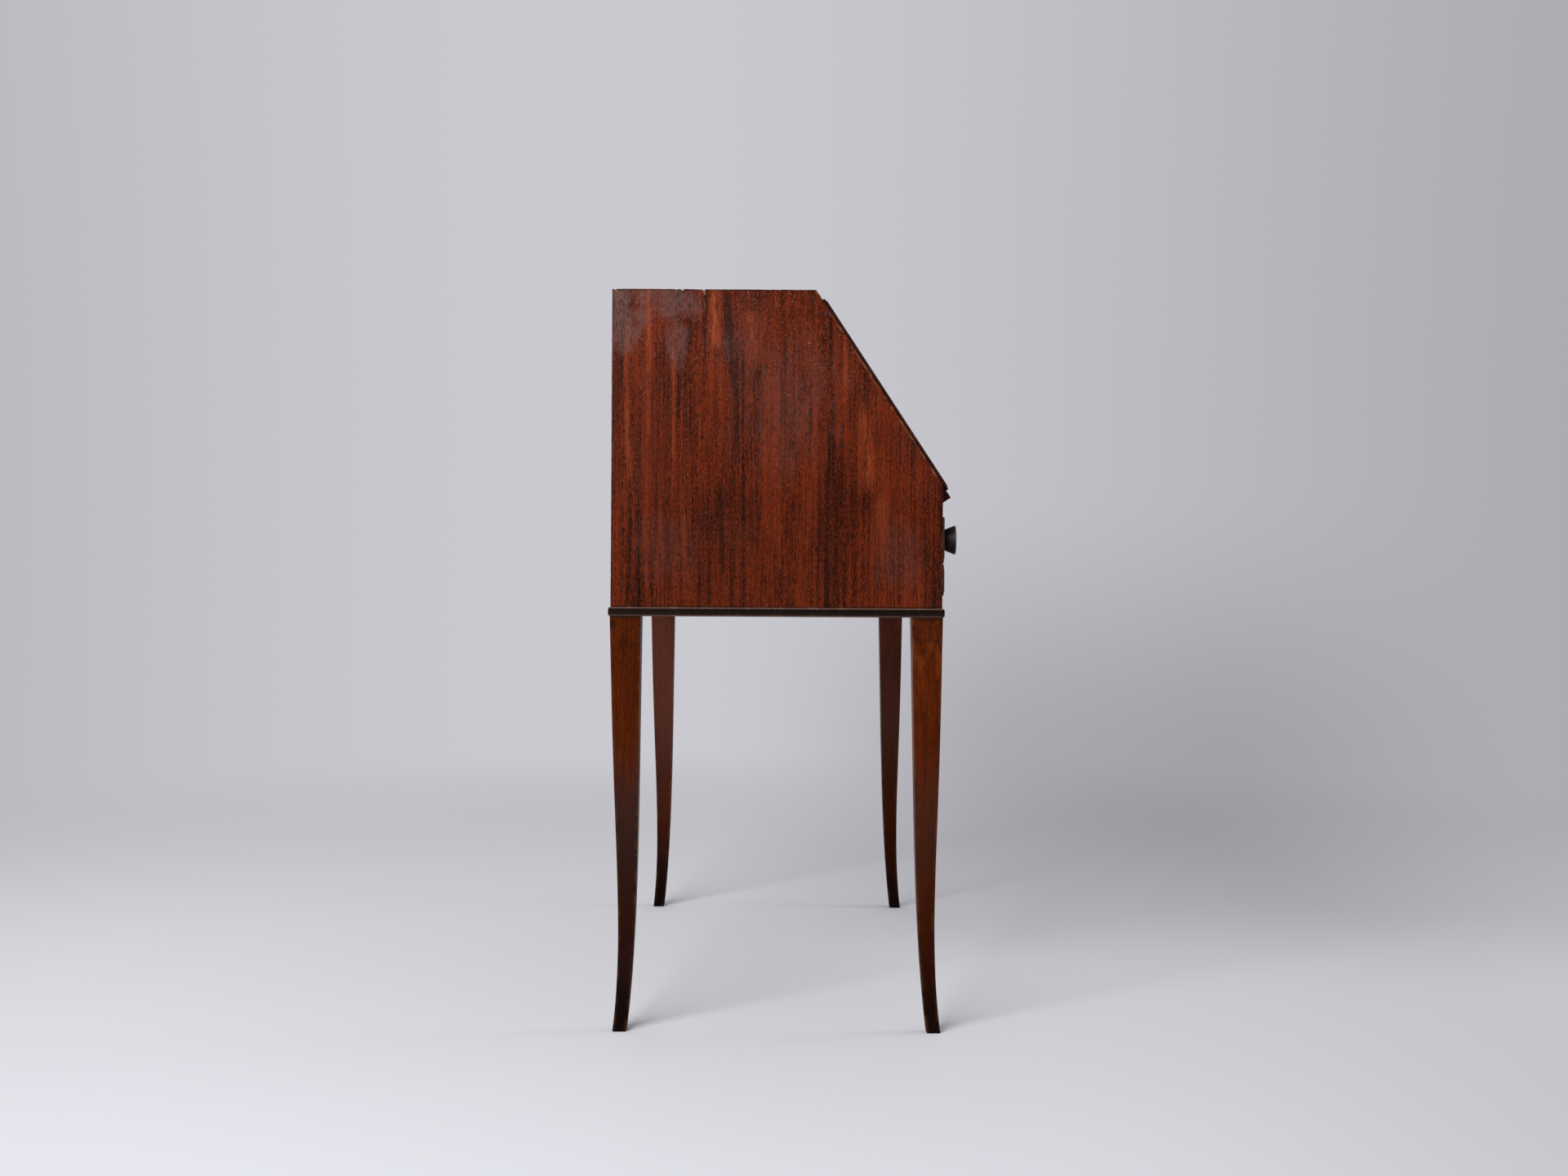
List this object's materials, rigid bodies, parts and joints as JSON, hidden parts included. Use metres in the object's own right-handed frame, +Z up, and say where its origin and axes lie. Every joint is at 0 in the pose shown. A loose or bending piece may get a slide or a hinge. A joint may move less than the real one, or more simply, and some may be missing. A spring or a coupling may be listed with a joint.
{
  "type": "escritoire",
  "caption": "Slant-front writing desk on sabre legs, with a fall lid, pull-out lid supports, drawers with flared black knobs, and pigeonholes inside.",
  "frame": {"origin": "on the floor, at the middle of the bounding box's underside", "axes": "+Z up, the lid and drawers face -Y, +X to the right as seen from the front"},
  "size_m": [0.866, 0.4848, 1.03],
  "materials": {
    "mahogany": "polished red-brown mahogany veneer",
    "leg_mahogany": "polished solid mahogany, darker towards the feet",
    "dark_mahogany": "dark stained moulding",
    "ebonised_wood": "black ebonised, satin",
    "drawer_lining": "bare secondary wood",
    "hinge_brass": "aged",
    "steel_screws": "dull"
  },
  "bodies": {
    "case": {"back_panel": "mahogany", "back_panel_screws": "steel_screws", "base_board": "drawer_lining", "base_moulding_back": "dark_mahogany", "base_moulding_front": "dark_mahogany", "base_moulding_left": "dark_mahogany", "base_moulding_right": "dark_mahogany", "bottom_board": "drawer_lining", "drawer_blade": "mahogany", "dust_board": "drawer_lining", "hinge_case_leaves": "hinge_brass", "hinge_case_screws": "steel_screws", "hinge_pins": "hinge_brass", "inner_partitions": "mahogany", "inner_shelf": "mahogany", "leg_back_left": "leg_mahogany", "leg_back_right": "leg_mahogany", "leg_front_left": "leg_mahogany", "leg_front_right": "leg_mahogany", "loper_guide_left": "drawer_lining", "loper_guide_right": "drawer_lining", "pigeonhole_dividers": "mahogany", "side_panel_left": "mahogany", "side_panel_right": "mahogany", "top_board": "mahogany", "writing_board": "mahogany"},
    "lid": {"lid_board": "mahogany", "lid_cleat_left": "mahogany", "lid_cleat_right": "mahogany", "lid_facing": "mahogany", "lid_knob": "ebonised_wood", "hinge_lid_leaves": "hinge_brass", "hinge_lid_screws": "steel_screws"},
    "loper_left": {"loper_bar_left": "mahogany", "loper_cap_left": "mahogany", "loper_knob_left": "ebonised_wood"},
    "loper_right": {"loper_bar_right": "mahogany", "loper_cap_right": "mahogany", "loper_knob_right": "ebonised_wood"},
    "upper_drawer": {"upper_drawer_back": "drawer_lining", "upper_drawer_bottom": "drawer_lining", "upper_drawer_front": "mahogany", "upper_drawer_knobs": "ebonised_wood", "upper_drawer_side_left": "drawer_lining", "upper_drawer_side_right": "drawer_lining"},
    "lower_drawer": {"lower_drawer_back": "drawer_lining", "lower_drawer_bottom": "drawer_lining", "lower_drawer_front": "mahogany", "lower_drawer_knobs": "ebonised_wood", "lower_drawer_side_left": "drawer_lining", "lower_drawer_side_right": "drawer_lining"},
    "inner_drawer_left": {"inner_drawer_left_box": "drawer_lining", "inner_drawer_left_front": "mahogany", "inner_drawer_left_knob": "ebonised_wood"},
    "inner_drawer_right": {"inner_drawer_right_box": "drawer_lining", "inner_drawer_right_front": "mahogany", "inner_drawer_right_knob": "ebonised_wood"}
  },
  "joints": [
    {"name": "lid_hinge", "type": "hinge", "parent": "case", "child": "lid", "pos_m": [0, -0.2214, 0.7355], "axis": [1, 0, 0], "range_deg": [0, 123.4]},
    {"name": "loper_left_slide", "type": "slide", "parent": "case", "child": "loper_left", "axis": [0, -1, 0], "range_m": [0, 0.22]},
    {"name": "loper_right_slide", "type": "slide", "parent": "case", "child": "loper_right", "axis": [0, -1, 0], "range_m": [0, 0.22]},
    {"name": "upper_drawer_slide", "type": "slide", "parent": "case", "child": "upper_drawer", "axis": [0, -1, 0], "range_m": [0, 0.24]},
    {"name": "lower_drawer_slide", "type": "slide", "parent": "case", "child": "lower_drawer", "axis": [0, -1, 0], "range_m": [0, 0.28]},
    {"name": "inner_drawer_left_slide", "type": "slide", "parent": "case", "child": "inner_drawer_left", "axis": [0, -1, 0], "range_m": [0, 0.14]},
    {"name": "inner_drawer_right_slide", "type": "slide", "parent": "case", "child": "inner_drawer_right", "axis": [0, -1, 0], "range_m": [0, 0.14]}
  ]
}
